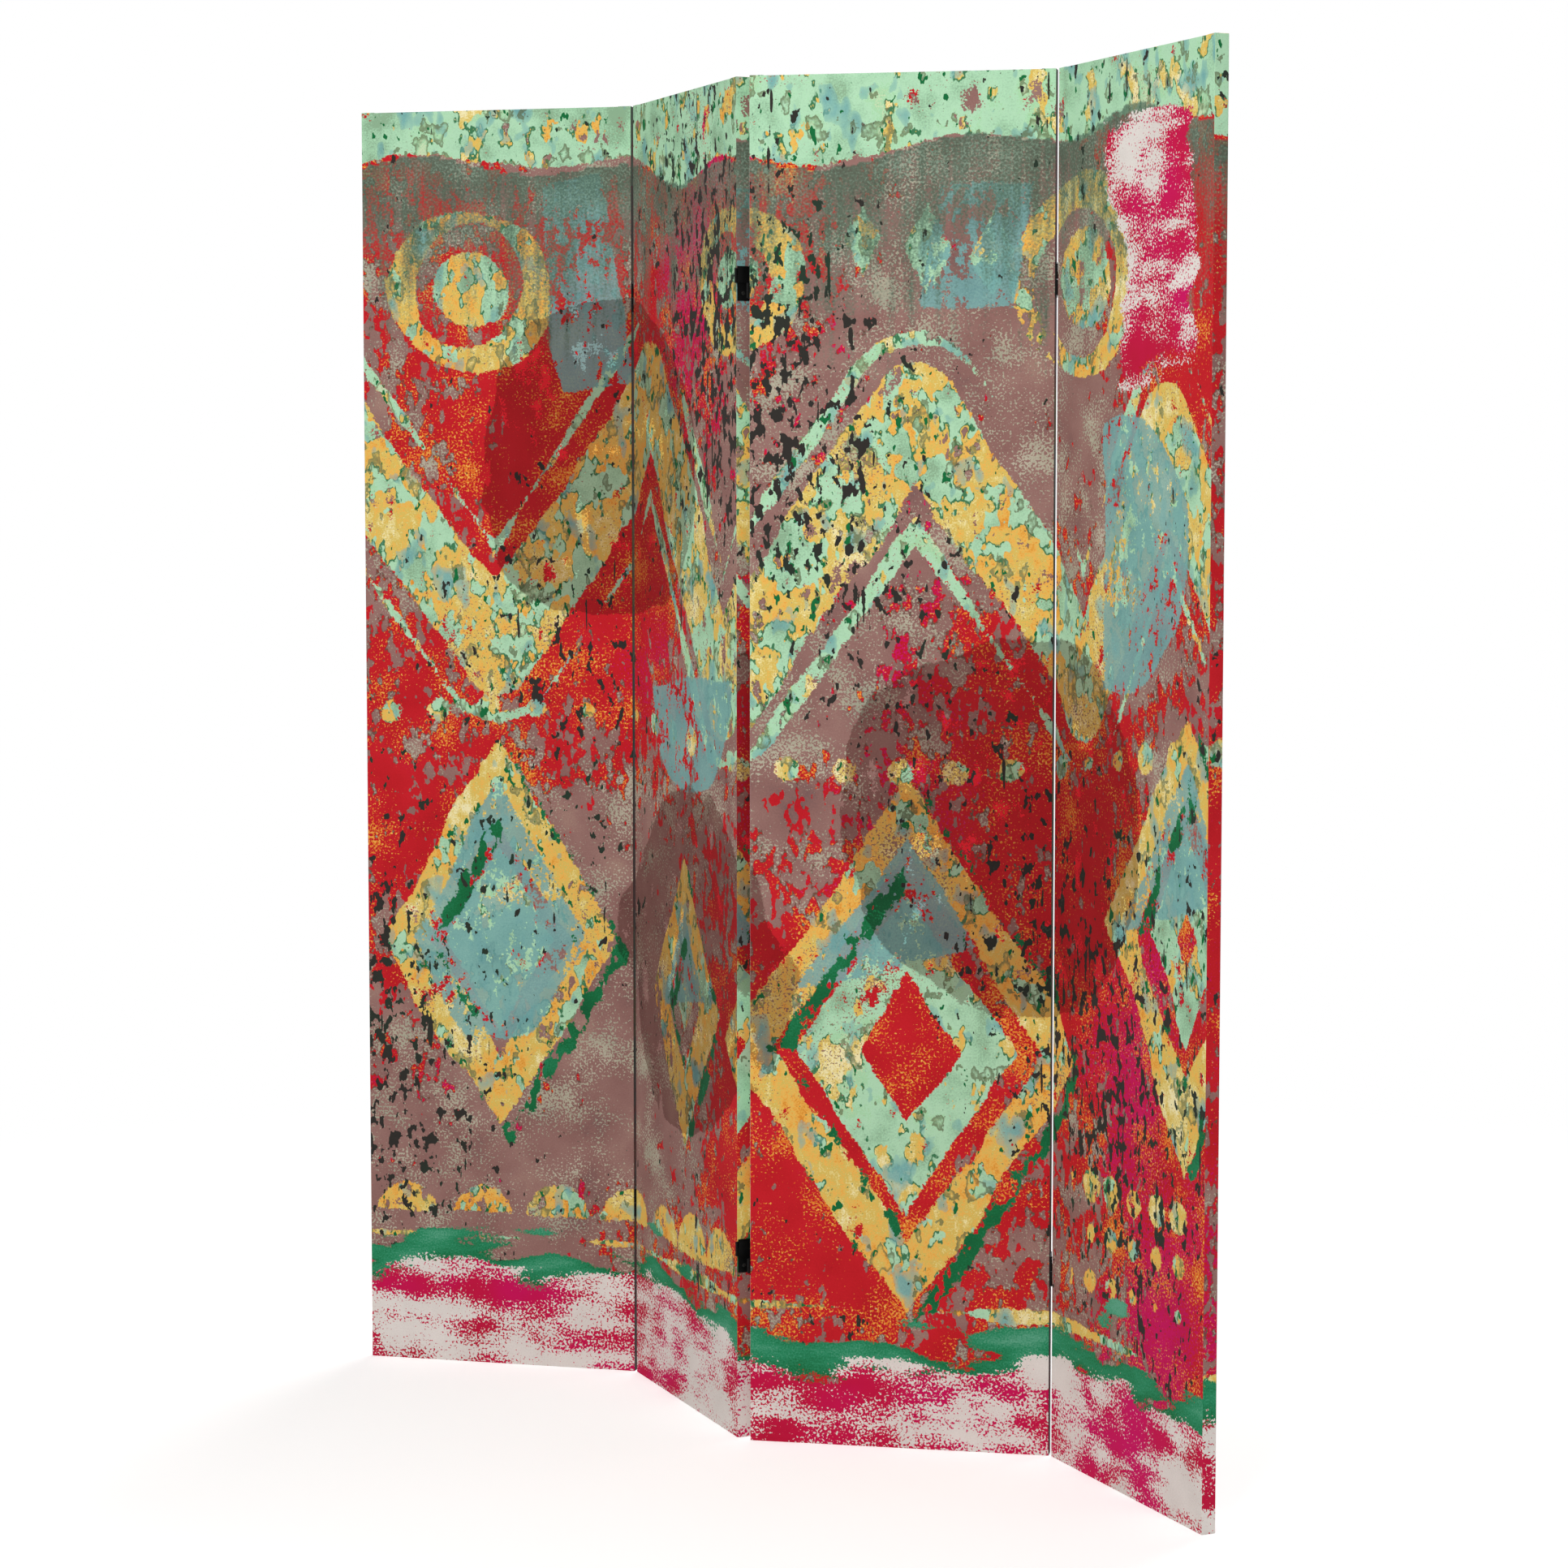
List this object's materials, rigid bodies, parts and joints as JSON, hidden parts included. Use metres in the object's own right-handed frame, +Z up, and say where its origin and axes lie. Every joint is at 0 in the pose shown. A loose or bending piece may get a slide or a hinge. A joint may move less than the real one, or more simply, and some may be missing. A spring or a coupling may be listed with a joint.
{
  "type": "folding room divider",
  "caption": "Freestanding folding screen of printed canvas panels stretched over wooden frames, joined edge to edge by black double-action hinges, to part or screen a room.",
  "frame": {"origin": "on the floor under the middle of the standing screen's bounding box", "axes": "+Z up, X along the line through the screen's two free ends, front of the screen towards -Y"},
  "size_m": [1.4686, 0.217, 1.8],
  "materials": {
    "frame_timber": "planed softwood, bare",
    "front_canvas": "matt printed canvas, stretched round the frame",
    "back_canvas": "matt printed canvas, glued flat",
    "hinge_metal": "black painted steel, low sheen"
  },
  "bodies": {
    "panel_1": {"hinge_1_high_left_plate": "hinge_metal", "hinge_1_high_lower_link": "hinge_metal", "hinge_1_low_left_plate": "hinge_metal", "hinge_1_low_lower_link": "hinge_metal", "panel_1_back_canvas": "back_canvas", "panel_1_bottom_rail": "frame_timber", "panel_1_front_canvas": "front_canvas", "panel_1_left_stile": "frame_timber", "panel_1_lower_cross_rail": "frame_timber", "panel_1_right_stile": "frame_timber", "panel_1_top_rail": "frame_timber", "panel_1_upper_cross_rail": "frame_timber"},
    "panel_2": {"hinge_1_high_right_plate": "hinge_metal", "hinge_1_high_upper_link": "hinge_metal", "hinge_1_low_right_plate": "hinge_metal", "hinge_1_low_upper_link": "hinge_metal", "hinge_2_high_left_plate": "hinge_metal", "hinge_2_high_upper_link": "hinge_metal", "hinge_2_low_left_plate": "hinge_metal", "hinge_2_low_upper_link": "hinge_metal", "panel_2_back_canvas": "back_canvas", "panel_2_bottom_rail": "frame_timber", "panel_2_front_canvas": "front_canvas", "panel_2_left_stile": "frame_timber", "panel_2_lower_cross_rail": "frame_timber", "panel_2_right_stile": "frame_timber", "panel_2_top_rail": "frame_timber", "panel_2_upper_cross_rail": "frame_timber"},
    "panel_3": {"hinge_2_high_lower_link": "hinge_metal", "hinge_2_high_right_plate": "hinge_metal", "hinge_2_low_lower_link": "hinge_metal", "hinge_2_low_right_plate": "hinge_metal", "hinge_3_high_left_plate": "hinge_metal", "hinge_3_high_lower_link": "hinge_metal", "hinge_3_low_left_plate": "hinge_metal", "hinge_3_low_lower_link": "hinge_metal", "panel_3_back_canvas": "back_canvas", "panel_3_bottom_rail": "frame_timber", "panel_3_front_canvas": "front_canvas", "panel_3_left_stile": "frame_timber", "panel_3_lower_cross_rail": "frame_timber", "panel_3_right_stile": "frame_timber", "panel_3_top_rail": "frame_timber", "panel_3_upper_cross_rail": "frame_timber"},
    "panel_4": {"hinge_3_high_right_plate": "hinge_metal", "hinge_3_high_upper_link": "hinge_metal", "hinge_3_low_right_plate": "hinge_metal", "hinge_3_low_upper_link": "hinge_metal", "panel_4_back_canvas": "back_canvas", "panel_4_bottom_rail": "frame_timber", "panel_4_front_canvas": "front_canvas", "panel_4_left_stile": "frame_timber", "panel_4_lower_cross_rail": "frame_timber", "panel_4_right_stile": "frame_timber", "panel_4_top_rail": "frame_timber", "panel_4_upper_cross_rail": "frame_timber"}
  },
  "joints": [
    {"name": "first_fold", "type": "hinge", "parent": "panel_2", "child": "panel_1", "pos_m": [-0.36492, 0.08263, 0.9], "axis": [0, 0, 1], "range_deg": [-54.1, 124.9]},
    {"name": "middle_fold", "type": "hinge", "parent": "panel_2", "child": "panel_3", "pos_m": [0.00204, -0.08729, 0.9], "axis": [0, 0, 1], "range_deg": [-56.6, 122.4]},
    {"name": "last_fold", "type": "hinge", "parent": "panel_3", "child": "panel_4", "pos_m": [0.3669, 0.08709, 0.9], "axis": [0, 0, -1], "range_deg": [-55.5, 123.5]}
  ]
}
